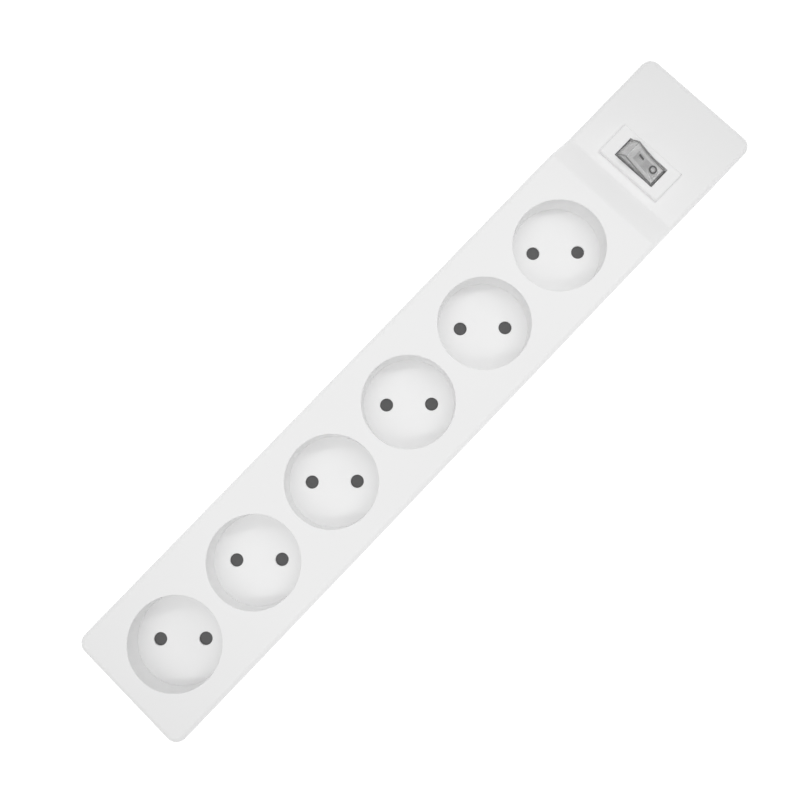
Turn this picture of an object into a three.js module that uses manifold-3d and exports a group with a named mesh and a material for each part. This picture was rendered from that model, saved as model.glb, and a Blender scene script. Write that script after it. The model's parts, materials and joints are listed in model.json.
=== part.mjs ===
// A mains power strip: six two-pin sockets on a raised deck, and a lit rocker switch on a lower head.
// Millimetres. X runs from the tail to the head, Z is up, and the strip stands on Z = 0.
// The origin is in the middle of the outline, on the underside.

import * as THREE from "three";
import { mergeVertices } from "three/addons/utils/BufferGeometryUtils.js";
import Module from "manifold-3d";

const wasm = await Module();
wasm.setup();

// ---- driving dimensions -------------------------------------------------------------------------

const LENGTH = 342.7;
const WIDTH = 58.4;
const DECK_Z = 36;
const HEAD_Z = 30.2;
const CORNER_RADIUS = 5;
const TOP_EDGE_RADIUS = 2.2;
const WALL = 2;
const FIT = 0.3;
const SLOPE_TOP_X = 108.05;
const SLOPE_FOOT_X = 120.55;

const SOCKETS = 6;
const SOCKET_PITCH = 45;
const SOCKETS_MIDDLE_X = -30.65;
const RECESS_RADIUS = 19.25;
const RECESS_FLOOR_RADIUS = 19;
const RECESS_DEPTH = 12;
const COLLAR_WALL = 1.8;
const COLLAR_FOOT_Z = 22;
const PIN_SPACING = 19;
const PIN_HOLE_RADIUS = 2.75;
const FLOOR_THICKNESS = 3.4;
const FLOOR_SKIN = 0.8;

const TRAY_FLOOR = 2.5;
const SEAM_Z = 7.9;
const TONGUE_TOP_Z = 10.4;
const TONGUE = 1;

const RIB_HALF = 0.8;
const SPINE_TOP_Z = 12;

const BASE_SCREW_XS = [-120.65, 14.35, 157];
const BASE_SCREW_Y = 20;
const BOSS_RADIUS = 4;
const BOSS_FOOT_Z = 9;
const BOSS_BLIND_END = 6;
const SCREW_RADIUS = 1.5;
const SCREW_LENGTH = 16;
const SCREW_HEAD_RADIUS = 3.1;
const SCREW_HEAD_HEIGHT = 2.2;
const SCREW_WELL_RADIUS = 5;
const SCREW_SEAT_Z = 4;

const KEYHOLES = [
  { headX: -159.6, slotX: -164.6 },
  { headX: 112, slotX: 106 },
];
const KEYHOLE_HEAD_RADIUS = 3.9;
const KEYHOLE_SLOT_HALF = 2.2;
const KEYHOLE_POCKET_TOP = 8;
const KEYHOLE_POCKET_WALL = 1.2;

const SWITCH_X = 132.45;
const BEZEL_LENGTH = 32.2;
const BEZEL_WIDTH = 16;
const BEZEL_HEIGHT = 1.9;
const BEZEL_EDGE = 1;
const PANEL_CUT_LENGTH = 29;
const PANEL_CUT_WIDTH = 13.8;
const ROCKER_PIVOT_Z = 27.6;
const ROCKER_RADIUS = 10.6;
const ROCKER_WIDTH = 9;
const ROCKER_TIP_ANGLE = 49.3;
const ROCKER_REST_TILT = 15.6;
const ROCKER_PIN_RADIUS = 1.5;
const BODY_HALF_WIDTH = 6.6;
const BODY_HALF_LENGTH = 14.2;
const BODY_FOOT_Z = 11.5;
const BODY_FLOOR_Z = 13.1;
const CHAMBER_HALF_WIDTH = 5;
const CHAMBER_HALF_LENGTH = 11.3;
const LIP_HALF_LENGTH = 10.45;
const LIP = 1;
const BLADE_HALF_WIDTH = 2.4;
const BLADE_THICKNESS = 0.8;
const BLADE_END_Z = 4.4;
const OUTPUT_BLADE_Y = -9.4;
const LAMP_BLADE_Y = 9.4;
const LEVER_Z = 16.2;
const LEVER_REST_TILT = 10;
const LEVER_CONTACT_Y = -7.4;
const CONTACT_FACING = 0.22;

const INLET_Z = 17;
const INLET_RADIUS = 3.7;
const BUSH_WALL = 0.9;
const CLAMP_X = 161.5;
const CLAMP_POST_Y = 8;
const CLAMP_POST_FOOT_Z = 13.5;
const CLAMP_BAR_Z = 10.2;
const CLAMP_SCREW_RADIUS = 1.2;
const BLOCK_LOW_X = 143.3;
const BLOCK_HIGH_X = 156.3;
const BLOCK_LOW_Z = 13;
const BLOCK_HIGH_Z = 24.5;
const BLOCK_HALF_Y = 9.6;
const BLOCK_SCREW_INSET = 3;
const POLE_Y = 4.9;
const POLE_Z = 19.5;

const BUSBAR_Z = 3.1;
const BUSBAR_THICKNESS = 0.8;
const BUSBAR_WIDTH = 6;
const BUSBAR_END_X = 98;
const BUSBAR_OVERHANG = 4;
const CARRIER_HALF_WIDTH = 13;
const KEEL_FOOT_Z = SPINE_TOP_Z + FIT;
const SHUTTER_THICKNESS = 1.2;
const SHUTTER_GAP = 0.15;
const SHUTTER_PAD_RADIUS = 3.5;
const SHUTTER_PAD_TOP_RADIUS = 3.05;
const SHUTTER_POCKET_RADIUS = 13.4;
const SHUTTER_PEG_RADIUS = 1.4;
const CONTACT_Z = 4;
const CONTACT_HEIGHT = 15.6;
const CONTACT_LENGTH = 6.5;
const CONTACT_GAUGE = 0.6;
const WIRE_RADIUS = 1.25;

// ---- derived places -----------------------------------------------------------------------------

const radians = THREE.MathUtils.degToRad;
const PIN_OFFSET = (PIN_SPACING / 2) * Math.SQRT1_2;
const RECESS_FLOOR_Z = DECK_Z - RECESS_DEPTH;
const BEZEL_TOP_Z = HEAD_Z + BEZEL_HEIGHT;
const HOUSING_FOOT_Z = SEAM_Z + FIT;
const SHUTTER_TOP_Z = RECESS_FLOOR_Z - FLOOR_SKIN - SHUTTER_GAP;
const SHUTTER_FOOT_Z = SHUTTER_TOP_Z - SHUTTER_THICKNESS;
const socketXs = Array.from(
  { length: SOCKETS },
  (_, i) => SOCKETS_MIDDLE_X + (i - (SOCKETS - 1) / 2) * SOCKET_PITCH,
);
const screwPlaces = BASE_SCREW_XS.flatMap((x) => [-1, 1].map((side) => [x, side * BASE_SCREW_Y]));

// ---- materials ----------------------------------------------------------------------------------

const finish = (color, roughness, metalness = 0, extra = {}) => () =>
  new THREE.MeshStandardMaterial({ color, roughness, metalness, ...extra });

const whitePlastic = finish(0xf1f1ef, 0.45);
const trayPlastic = finish(0xe9e9e6, 0.55);
const bezelPlastic = finish(0xf6f6f4, 0.35);
const smokyPlastic = finish(0x8f9092, 0.2, 0, { transparent: true, opacity: 0.75 });
const brass = finish(0xb89a52, 0.35, 0.9);
const copper = finish(0xb87348, 0.35, 0.9);
const silver = finish(0xd8d8d6, 0.3, 0.95);
const steel = finish(0xb9bcc0, 0.35, 0.9);
const blackPlastic = finish(0x2a2a2b, 0.6);
const darkPlastic = finish(0x4a4a4b, 0.55);
const lampGlass = finish(0xd9b8a0, 0.1, 0, { transparent: true, opacity: 0.6 });
const ceramic = finish(0xc9b48c, 0.6);
const brownInsulation = finish(0x5a3420, 0.5);
const blueInsulation = finish(0x2456a0, 0.5);
const greyPlastic = finish(0x8a8a88, 0.5);

// ---- solids -------------------------------------------------------------------------------------

/** A closed three.js geometry as a manifold solid. */
function solid(geometry) {
  const bare = geometry.clone();
  bare.deleteAttribute("normal");
  bare.deleteAttribute("uv");
  const welded = mergeVertices(bare, 1e-4);
  const vertProperties = new Float32Array(welded.attributes.position.array);
  const triVerts = new Uint32Array(welded.index.array);
  return new wasm.Manifold(new wasm.Mesh({ numProp: 3, vertProperties, triVerts }));
}

/** A manifold solid as a three.js geometry. */
function geometryOf(manifold) {
  const mesh = manifold.getMesh();
  const geometry = new THREE.BufferGeometry();
  geometry.setAttribute("position", new THREE.BufferAttribute(mesh.vertProperties, 3));
  geometry.setIndex(new THREE.BufferAttribute(mesh.triVerts, 1));
  geometry.computeVertexNormals();
  return geometry;
}

/** A box between two corners. */
function box(low, high) {
  const size = high.map((value, i) => value - low[i]);
  const geometry = new THREE.BoxGeometry(...size);
  geometry.translate(...low.map((value, i) => value + size[i] / 2));
  return solid(geometry);
}

/** An upright round bar, or a cone where the two radii differ. */
function rod(x, y, lowZ, highZ, radius, sides = 24, topRadius = radius) {
  const geometry = new THREE.CylinderGeometry(topRadius, radius, highZ - lowZ, sides);
  geometry.rotateX(Math.PI / 2);
  geometry.translate(x, y, (lowZ + highZ) / 2);
  return solid(geometry);
}

/** A round bar along X. */
function rodAlongX(lowX, highX, y, z, radius, sides = 24) {
  const geometry = new THREE.CylinderGeometry(radius, radius, highX - lowX, sides);
  geometry.rotateZ(Math.PI / 2);
  geometry.translate((lowX + highX) / 2, y, z);
  return solid(geometry);
}

/** The strip's plan outline, drawn inwards by an inset. */
function planShape(inset, arcSteps = 4) {
  const halfX = LENGTH / 2 - inset;
  const halfY = WIDTH / 2 - inset;
  const radius = Math.max(CORNER_RADIUS - inset, 1);
  const corners = [[1, 1], [-1, 1], [-1, -1], [1, -1]];
  const points = corners.flatMap(([sx, sy], corner) =>
    Array.from({ length: arcSteps + 1 }, (_, i) => {
      const angle = (corner + i / arcSteps) * (Math.PI / 2);
      const x = sx * (halfX - radius) + radius * Math.cos(angle);
      const y = sy * (halfY - radius) + radius * Math.sin(angle);
      return new THREE.Vector2(x, y);
    }),
  );
  return new THREE.Shape(points);
}

/** The plan outline as an upright block. */
function planBlock(inset, lowZ, highZ) {
  const depth = highZ - lowZ;
  const geometry = new THREE.ExtrudeGeometry(planShape(inset), { depth, bevelEnabled: false });
  geometry.translate(0, 0, lowZ);
  return solid(geometry);
}

/** The plan outline as a block whose top edge is rounded. */
function roundedPlanBlock(lowZ, highZ) {
  const rounding = 3;
  let block = planBlock(0, lowZ, highZ - TOP_EDGE_RADIUS);
  for (let i = 0; i < rounding; i += 1) {
    const [from, to] = [i, i + 1].map((step) => radians((90 * step) / rounding));
    const lowInset = TOP_EDGE_RADIUS * (1 - Math.cos(from));
    const highInset = TOP_EDGE_RADIUS * (1 - Math.cos(to));
    const lowEdge = highZ - TOP_EDGE_RADIUS * (1 - Math.sin(from));
    const highEdge = highZ - TOP_EDGE_RADIUS * (1 - Math.sin(to));
    block = block.add(taperedPlan(lowInset, highInset, lowEdge, highEdge));
  }
  return block;
}

/** A block between two insets of the plan outline. */
function taperedPlan(lowInset, highInset, lowZ, highZ) {
  const low = planShape(lowInset).getPoints();
  const high = planShape(highInset).getPoints();
  const count = low.length - 1;
  const positions = [];
  const push = (point, z) => positions.push(point.x, point.y, z);
  for (let i = 0; i < count; i += 1) {
    const next = (i + 1) % count;
    push(low[i], lowZ);
    push(low[next], lowZ);
    push(high[next], highZ);
    push(low[i], lowZ);
    push(high[next], highZ);
    push(high[i], highZ);
    if (i > 0 && i < count - 1) {
      push(low[0], lowZ);
      push(low[next], lowZ);
      push(low[i], lowZ);
      push(high[0], highZ);
      push(high[i], highZ);
      push(high[next], highZ);
    }
  }
  const geometry = new THREE.BufferGeometry();
  geometry.setAttribute("position", new THREE.Float32BufferAttribute(positions, 3));
  return solid(geometry);
}

/** A profile in the X-Z plane, [x, z] points, drawn across the strip between two Y values. */
function acrossY(points, lowY, highY) {
  const shape = new THREE.Shape(points.map(([x, z]) => new THREE.Vector2(x, z)));
  const geometry = new THREE.ExtrudeGeometry(shape, { depth: highY - lowY, bevelEnabled: false });
  geometry.rotateX(Math.PI / 2);
  geometry.translate(0, highY, 0);
  return solid(geometry);
}

/** A profile in the Y-Z plane, [y, z] points, drawn along the strip between two X values. */
function alongX(points, lowX, highX) {
  const shape = new THREE.Shape(points.map(([y, z]) => new THREE.Vector2(y, z)));
  const geometry = new THREE.ExtrudeGeometry(shape, { depth: highX - lowX, bevelEnabled: false });
  const turn = new THREE.Matrix4().makeBasis(
    new THREE.Vector3(0, 1, 0),
    new THREE.Vector3(0, 0, 1),
    new THREE.Vector3(1, 0, 0),
  );
  geometry.applyMatrix4(turn);
  geometry.translate(lowX, 0, 0);
  return solid(geometry);
}

const join = (first, ...others) => others.reduce((whole, other) => whole.add(other), first);
const cut = (first, ...others) => others.reduce((whole, other) => whole.subtract(other), first);
const work = (first, features) =>
  features.reduce((whole, { added, removed }) => whole.add(added).subtract(removed), first);

// ---- the scene ----------------------------------------------------------------------------------

const strip = new THREE.Group();

function place(name, shape, material, parent = strip, position = [0, 0, 0]) {
  const geometry = shape.isBufferGeometry ? shape : geometryOf(shape);
  const mesh = new THREE.Mesh(geometry, material());
  mesh.name = name;
  mesh.position.set(...position);
  parent.add(mesh);
}

// ---- top housing --------------------------------------------------------------------------------

/** Everything below the deck, the slope and the head, lowered by a skin thickness. */
function underRoof(lowZ, skin) {
  const slopeLength = Math.hypot(SLOPE_FOOT_X - SLOPE_TOP_X, DECK_Z - HEAD_Z);
  const slide = (skin * (slopeLength - (SLOPE_FOOT_X - SLOPE_TOP_X))) / (DECK_Z - HEAD_Z);
  const profile = [
    [-LENGTH, lowZ],
    [LENGTH, lowZ],
    [LENGTH, HEAD_Z - skin],
    [SLOPE_FOOT_X - slide, HEAD_Z - skin],
    [SLOPE_TOP_X - slide, DECK_Z - skin],
    [-LENGTH, DECK_Z - skin],
  ];
  return acrossY(profile, -WIDTH, WIDTH);
}

function outerShell() {
  const headBlock = roundedPlanBlock(HOUSING_FOOT_Z, HEAD_Z);
  const deckBlock = roundedPlanBlock(HOUSING_FOOT_Z, DECK_Z).intersect(underRoof(0, 0));
  const headOnly = headBlock.intersect(box([SLOPE_FOOT_X, -WIDTH, 0], [LENGTH, WIDTH, DECK_Z]));
  const deckOnly = deckBlock.subtract(box([SLOPE_FOOT_X, -WIDTH, 0], [LENGTH, WIDTH, DECK_Z + 1]));
  const hollow = planBlock(WALL, 0, DECK_Z).intersect(underRoof(0, WALL));
  return deckOnly.add(headOnly).subtract(hollow);
}

/** One socket's collar, and the slightly tapered recess bored through it. */
function socketCollar(x) {
  const collar = rod(x, 0, COLLAR_FOOT_Z, DECK_Z - WALL / 2, RECESS_RADIUS + COLLAR_WALL, 32);
  const recess = rod(x, 0, RECESS_FLOOR_Z, DECK_Z, RECESS_FLOOR_RADIUS, 36, RECESS_RADIUS);
  const mouth = rod(x, 0, DECK_Z - 1e-3, DECK_Z + 1, RECESS_RADIUS, 36);
  const foot = rod(x, 0, COLLAR_FOOT_Z - 1, RECESS_FLOOR_Z + 1e-3, RECESS_FLOOR_RADIUS, 36);
  return { added: collar, removed: join(recess, mouth, foot) };
}

/** A post for a base screw, with a web that ties it to the side wall. */
function screwBoss([x, y]) {
  const roofZ = (x > SLOPE_FOOT_X ? HEAD_Z : DECK_Z) - WALL / 2;
  const wallY = Math.sign(y) * (WIDTH - WALL) / 2;
  const post = rod(x, y, BOSS_FOOT_Z, roofZ, BOSS_RADIUS, 14);
  const web = box(
    [x - RIB_HALF, Math.min(y, wallY), BOSS_FOOT_Z + 3],
    [x + RIB_HALF, Math.max(y, wallY), roofZ - WALL],
  );
  const bore = rod(x, y, 0, roofZ - BOSS_BLIND_END, SCREW_RADIUS + FIT, 12);
  return { added: post.add(web), removed: bore };
}

/** Two ribs under the head that the terminal block hangs from. */
function blockRibs() {
  return [BLOCK_LOW_X + 2, BLOCK_HIGH_X - 2].map((x) =>
    box([x - RIB_HALF, -BLOCK_HALF_Y, BLOCK_HIGH_Z + FIT], [x + RIB_HALF, BLOCK_HALF_Y, HEAD_Z - WALL / 2]),
  );
}

/** The cord clamp's two bored posts, with the saddle between them. */
function clampMounting() {
  const roofZ = HEAD_Z - WALL / 2;
  const saddleZ = INLET_Z + INLET_RADIUS + 0.4;
  const saddle = box([CLAMP_X - 1, -CLAMP_POST_Y, saddleZ], [CLAMP_X + 1, CLAMP_POST_Y, roofZ]);
  const postYs = [-CLAMP_POST_Y, CLAMP_POST_Y];
  const posts = postYs.map((y) => rod(CLAMP_X, y, CLAMP_POST_FOOT_Z, roofZ, 3, 16));
  const bores = postYs.map((y) => rod(CLAMP_X, y, 0, roofZ - 2 * WALL, CLAMP_SCREW_RADIUS + FIT, 12));
  return { added: join(saddle, ...posts), removed: join(...bores) };
}

function topHousing() {
  const features = [...socketXs.map(socketCollar), ...screwPlaces.map(screwBoss), clampMounting()];
  const housing = join(work(outerShell(), features), ...blockRibs());
  const panelCut = box(
    [SWITCH_X - PANEL_CUT_WIDTH / 2, -PANEL_CUT_LENGTH / 2, HEAD_Z - 2 * WALL],
    [SWITCH_X + PANEL_CUT_WIDTH / 2, PANEL_CUT_LENGTH / 2, HEAD_Z + 1],
  );
  const inletRadius = INLET_RADIUS + BUSH_WALL + FIT;
  const inlet = rodAlongX(LENGTH / 2 - 2 * WALL, LENGTH / 2 + 1, 0, INLET_Z, inletRadius);
  return cut(housing, panelCut, inlet);
}

// ---- contact carrier ----------------------------------------------------------------------------

const pinPlaces = (x) => [-1, 1].map((side) => [x + side * PIN_OFFSET, -side * PIN_OFFSET]);

/** The snap peg that a shutter turns on, hanging from the socket floor. */
function shutterPeg(x) {
  const barbZ = SHUTTER_FOOT_Z - SHUTTER_GAP;
  const peg = rod(x, 0, barbZ - 0.4, RECESS_FLOOR_Z - 0.2, SHUTTER_PEG_RADIUS, 16);
  return peg.add(rod(x, 0, barbZ - 0.4, barbZ, SHUTTER_PEG_RADIUS, 16, SHUTTER_PEG_RADIUS + 0.4));
}

/** The six round socket floors on one plate, hollow below for the shutters, with ribs between sockets. */
function contactCarrier() {
  const footZ = RECESS_FLOOR_Z - FLOOR_THICKNESS;
  const pocketZ = RECESS_FLOOR_Z - FLOOR_SKIN;
  const plateTopZ = COLLAR_FOOT_Z - FIT;
  const [firstX, lastX] = [socketXs[0], socketXs[SOCKETS - 1]];
  const plate = box([firstX, -CARRIER_HALF_WIDTH, footZ], [lastX, CARRIER_HALF_WIDTH, plateTopZ]);
  const keel = box([firstX, -RIB_HALF, KEEL_FOOT_Z], [BUSBAR_END_X, RIB_HALF, footZ + RIB_HALF]);
  const floors = socketXs.map((x) => rod(x, 0, footZ, RECESS_FLOOR_Z, RECESS_FLOOR_RADIUS - FIT, 36));
  const pockets = socketXs.map((x) => rod(x, 0, 0, pocketZ, SHUTTER_POCKET_RADIUS, 32));
  const bores = socketXs.flatMap(pinPlaces).map(([x, y]) => rod(x, y, 0, DECK_Z, PIN_HOLE_RADIUS, 16));
  return join(cut(join(plate, keel, ...floors), ...pockets, ...bores), ...socketXs.map(shutterPeg));
}

/** A turning shutter about its socket's middle: a hub, and an arm with a pad under each pin hole. */
function shutter() {
  const hub = rod(0, 0, SHUTTER_FOOT_Z, SHUTTER_TOP_Z, 3.2, 24);
  const armHalf = 1.8;
  const arm = solid(new THREE.BoxGeometry(PIN_SPACING, 2 * armHalf, SHUTTER_THICKNESS - 0.3))
    .rotate([0, 0, -45])
    .translate([0, 0, SHUTTER_FOOT_Z + (SHUTTER_THICKNESS - 0.3) / 2]);
  const pads = pinPlaces(0).map(([x, y]) =>
    rod(x, y, SHUTTER_FOOT_Z, SHUTTER_TOP_Z, SHUTTER_PAD_RADIUS, 24, SHUTTER_PAD_TOP_RADIUS),
  );
  const eye = rod(0, 0, 0, DECK_Z, SHUTTER_PEG_RADIUS + 0.25, 16);
  return join(hub, arm, ...pads).subtract(eye);
}

// ---- base tray ----------------------------------------------------------------------------------

/** A keyhole with its closed pocket, so that a wall screw cannot reach a live part. */
function keyhole({ headX, slotX }) {
  const [radius, slot, wall] = [KEYHOLE_HEAD_RADIUS, KEYHOLE_SLOT_HALF, KEYHOLE_POCKET_WALL];
  const [endX, topX, topZ] = [slotX - slot, headX + radius, KEYHOLE_POCKET_TOP];
  const pocket = box([endX - wall, -radius - wall, 1], [topX + wall, radius + wall, topZ]);
  const room = box([endX, -radius, TRAY_FLOOR], [topX, radius, topZ - wall]);
  const mouth = rod(headX, 0, -1, TRAY_FLOOR + 1, radius, 20);
  const slotSides = box([slotX, -slot, -1], [headX, slot, TRAY_FLOOR + 1]);
  const slotEnd = rod(slotX, 0, -1, TRAY_FLOOR + 1, slot, 12);
  return { added: pocket, removed: join(room, mouth, slotSides, slotEnd) };
}

/** The well under a base screw: wide for its head, narrow for its shank. */
function screwWell([x, y]) {
  const well = rod(x, y, 1, BOSS_FOOT_Z - 0.5, SCREW_WELL_RADIUS, 16);
  const shank = rod(x, y, -1, BOSS_FOOT_Z + 0.5, SCREW_RADIUS + FIT, 12);
  const head = rod(x, y, -1, SCREW_SEAT_Z, SCREW_HEAD_RADIUS + FIT, 20);
  return { added: well, removed: join(shank, head) };
}

/** The bottom cover: a dish with a tongue inside the housing's wall, and ribs that carry the bars. */
function baseTray() {
  const skirt = WALL + FIT + TONGUE;
  const dish = cut(planBlock(0, 0, SEAM_Z), planBlock(skirt, TRAY_FLOOR, SEAM_Z + 1));
  const tongueBlock = planBlock(WALL + FIT, SEAM_Z - 1, TONGUE_TOP_Z);
  const tongue = cut(tongueBlock, planBlock(skirt, 0, TONGUE_TOP_Z + 1));
  const spineLow = [socketXs[0] - BUSBAR_OVERHANG, -RIB_HALF, 1];
  const spine = box(spineLow, [BUSBAR_END_X, RIB_HALF, SPINE_TOP_Z]);
  const sleepers = socketXs.map((x) => box([x - RIB_HALF, -11.5, 1], [x + RIB_HALF, 11.5, BUSBAR_Z - 0.1]));
  const features = [...screwPlaces.map(screwWell), ...KEYHOLES.map(keyhole)];
  return work(join(dish, tongue, spine, ...sleepers), features);
}

// ---- screws -------------------------------------------------------------------------------------

/** A pan-head screw driven upwards, its head's underside at Z = 0 and a cross recess below. */
function screw(headRadius, headHeight, shankRadius, shankLength) {
  const profile = [
    [0, -headHeight],
    [headRadius * 0.7, -headHeight],
    [headRadius, -headHeight * 0.5],
    [headRadius, 0],
    [shankRadius, 0],
    [shankRadius, shankLength - shankRadius],
    [0, shankLength],
  ];
  const lathe = new THREE.LatheGeometry(profile.map(([r, z]) => new THREE.Vector2(r, z)), 12);
  lathe.rotateX(Math.PI / 2);
  const arm = headRadius * 0.55;
  const half = headRadius * 0.12;
  const depth = headHeight * 0.6;
  const recess = join(
    box([-arm, -half, -headHeight - 1], [arm, half, -headHeight + depth]),
    box([-half, -arm, -headHeight - 1], [half, arm, -headHeight + depth]),
  );
  return solid(lathe).subtract(recess);
}

/** A slotted grub screw, its slot facing down, with its lower end at Z = 0. */
function grubScrew(radius, length) {
  const slot = box([-radius - 1, -0.3, -1], [radius + 1, 0.3, 0.8]);
  return rod(0, 0, 0, length, radius, 12).subtract(slot);
}

// ---- bars and contacts --------------------------------------------------------------------------

/** A brass strip that ends in a tab turned up for its wire. */
function busbar(startX) {
  const thickness = BUSBAR_THICKNESS;
  const profile = [
    [startX, BUSBAR_Z],
    [BUSBAR_END_X, BUSBAR_Z],
    [BUSBAR_END_X, BUSBAR_Z + 8],
    [BUSBAR_END_X - thickness, BUSBAR_Z + 8],
    [BUSBAR_END_X - thickness, BUSBAR_Z + thickness],
    [startX, BUSBAR_Z + thickness],
  ];
  return acrossY(profile, -BUSBAR_WIDTH / 2, BUSBAR_WIDTH / 2);
}

/** A spring clip: a U whose cheeks close on a pin and open out at the top to guide it in. */
function pinContact() {
  const gauge = CONTACT_GAUGE;
  const inner = [
    [2.9, gauge],
    [2.9, 5],
    [2, 11],
    [3, CONTACT_HEIGHT],
  ];
  const outer = [
    [3 + gauge, CONTACT_HEIGHT],
    [2 + gauge, 11],
    [2.9 + gauge, 5],
    [2.9 + gauge, 0],
  ];
  const half = [...inner, ...outer];
  const mirrored = half.map(([y, z]) => [-y, z]).reverse();
  return alongX([...half, ...mirrored], -CONTACT_LENGTH / 2, CONTACT_LENGTH / 2);
}

// ---- switch -------------------------------------------------------------------------------------

/** The switch's case and bezel. X and Y are about the middle of the switch, Z is the strip's. */
function switchBody() {
  const [halfX, halfY] = [BEZEL_WIDTH / 2 - BEZEL_EDGE, BEZEL_LENGTH / 2 - BEZEL_EDGE];
  const bezelShape = new THREE.Shape([
    new THREE.Vector2(-halfX, -halfY),
    new THREE.Vector2(halfX, -halfY),
    new THREE.Vector2(halfX, halfY),
    new THREE.Vector2(-halfX, halfY),
  ]);
  const bezelPlate = new THREE.ExtrudeGeometry(bezelShape, {
    depth: BEZEL_HEIGHT,
    bevelSize: BEZEL_EDGE,
    bevelThickness: BEZEL_EDGE,
    bevelSegments: 3,
  });
  bezelPlate.translate(0, 0, BEZEL_TOP_Z - BEZEL_HEIGHT - BEZEL_EDGE);
  const bezel = solid(bezelPlate).intersect(
    box([-BEZEL_WIDTH, -BEZEL_LENGTH, HEAD_Z + 0.05], [BEZEL_WIDTH, BEZEL_LENGTH, DECK_Z]),
  );
  const body = box(
    [-BODY_HALF_WIDTH, -BODY_HALF_LENGTH, BODY_FOOT_Z],
    [BODY_HALF_WIDTH, BODY_HALF_LENGTH, HEAD_Z + 0.5],
  );
  const latchTopZ = HEAD_Z - WALL - FIT;
  const latch = [
    [0, latchTopZ - 5],
    [BODY_HALF_LENGTH + 0.9, latchTopZ - 0.4],
    [BODY_HALF_LENGTH + 0.9, latchTopZ],
    [0, latchTopZ],
  ];
  const latches = [1, -1].map((side) => {
    const points = latch.map(([y, z]) => [side * y, z]);
    return alongX(side > 0 ? points : points.reverse(), -3, 3);
  });
  const chamber = box(
    [-CHAMBER_HALF_WIDTH, -CHAMBER_HALF_LENGTH, BODY_FLOOR_Z],
    [CHAMBER_HALF_WIDTH, CHAMBER_HALF_LENGTH, BEZEL_TOP_Z - LIP],
  );
  const mouth = box(
    [-CHAMBER_HALF_WIDTH, -LIP_HALF_LENGTH, BODY_FLOOR_Z],
    [CHAMBER_HALF_WIDTH, LIP_HALF_LENGTH, BEZEL_TOP_Z + 1],
  );
  const bores = rodAlongX(-8, 8, 0, ROCKER_PIVOT_Z, ROCKER_PIN_RADIUS + 0.1, 24);
  const slots = [OUTPUT_BLADE_Y, 0, LAMP_BLADE_Y].map((y) =>
    box(
      [-BLADE_HALF_WIDTH - 0.2, y - BLADE_THICKNESS / 2 - 0.2, 0],
      [BLADE_HALF_WIDTH + 0.2, y + BLADE_THICKNESS / 2 + 0.2, BODY_FLOOR_Z + 1],
    ),
  );
  return cut(join(body, bezel, ...latches), chamber, mouth, bores, ...slots);
}

/** The rocker about its pivot: a shell under a slightly dished face, with round ends and two pivot pins. */
function rocker() {
  const dish = 0.5;
  const faceSteps = 8;
  const endSteps = 6;
  const skirtAngle = 96;
  const tipY = ROCKER_RADIUS * Math.sin(radians(ROCKER_TIP_ANGLE));
  const tipZ = ROCKER_RADIUS * Math.cos(radians(ROCKER_TIP_ANGLE));
  const face = Array.from({ length: faceSteps - 1 }, (_, i) => {
    const y = tipY * (1 - (2 * (i + 1)) / faceSteps);
    return [y, tipZ - dish * (1 - (y / tipY) ** 2)];
  });
  const end = (side) =>
    Array.from({ length: endSteps + 1 }, (_, i) => {
      const angle = radians(skirtAngle + ((ROCKER_TIP_ANGLE - skirtAngle) * i) / endSteps);
      return [side * ROCKER_RADIUS * Math.sin(angle), ROCKER_RADIUS * Math.cos(angle)];
    });
  const outline = [...end(1), ...face, ...end(-1).reverse()];
  const block = alongX(outline, -ROCKER_WIDTH / 2, ROCKER_WIDTH / 2);
  const innerHalfWidth = ROCKER_WIDTH / 2 - 1;
  const roofZ = tipZ - dish - 1;
  const hollow = alongX(
    [[-9.2, -3], [9.2, -3], [9.2, 2.6], [7, roofZ], [-7, roofZ], [-9.2, 2.6]],
    -innerHalfWidth,
    innerHalfWidth,
  );
  const bridge = box([-innerHalfWidth - 0.2, -1.2, -1.5], [innerHalfWidth + 0.2, 1.2, 1.2]);
  const tube = rod(0, 0, -4.5, 1.2, 2.5, 20);
  const bore = rod(0, 0, -5, 0.4, 1.6, 16);
  const pins = [-1, 1].map((side) => {
    const [near, far] = [innerHalfWidth + 0.2, BODY_HALF_WIDTH - 0.3].map((x) => side * x);
    return rodAlongX(Math.min(near, far), Math.max(near, far), 0, 0, ROCKER_PIN_RADIUS, 24);
  });
  return join(cut(block, hollow), bridge, tube, ...pins).subtract(bore);
}

/** The round-nosed pin that presses on the lever, about the rocker's pivot. */
function plunger() {
  const radius = 1.25;
  const profile = [[0, -10.2], [0.7, -10.05], [1.15, -9.6], [radius, -9], [radius, -2.2], [0, -2.2]];
  const geometry = new THREE.LatheGeometry(profile.map(([r, z]) => new THREE.Vector2(r, z)), 16);
  geometry.rotateX(Math.PI / 2);
  return solid(geometry);
}

/** The coil spring above the plunger. */
function plungerSpring() {
  class Helix extends THREE.Curve {
    getPoint(t, target = new THREE.Vector3()) {
      const angle = t * 4 * 2 * Math.PI;
      return target.set(0.95 * Math.cos(angle), 0.95 * Math.sin(angle), -1.7 + 1.6 * t);
    }
  }
  return tube(new Helix(), 0.16, 32, 4);
}

/** A closed tube along a curve. */
function tube(curve, radius, steps, sides = 8) {
  const section = new THREE.Shape();
  for (let i = 0; i < sides; i += 1) {
    const angle = (i / sides) * 2 * Math.PI;
    const [x, y] = [radius * Math.cos(angle), radius * Math.sin(angle)];
    if (i === 0) section.moveTo(x, y);
    else section.lineTo(x, y);
  }
  const geometry = new THREE.ExtrudeGeometry(section, { steps, bevelEnabled: false, extrudePath: curve });
  return solid(geometry);
}

/** A glass tube with round ends, along Y. */
function neonLamp() {
  const geometry = new THREE.CapsuleGeometry(1.8, 6.4, 4, 16);
  return solid(geometry);
}

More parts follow.
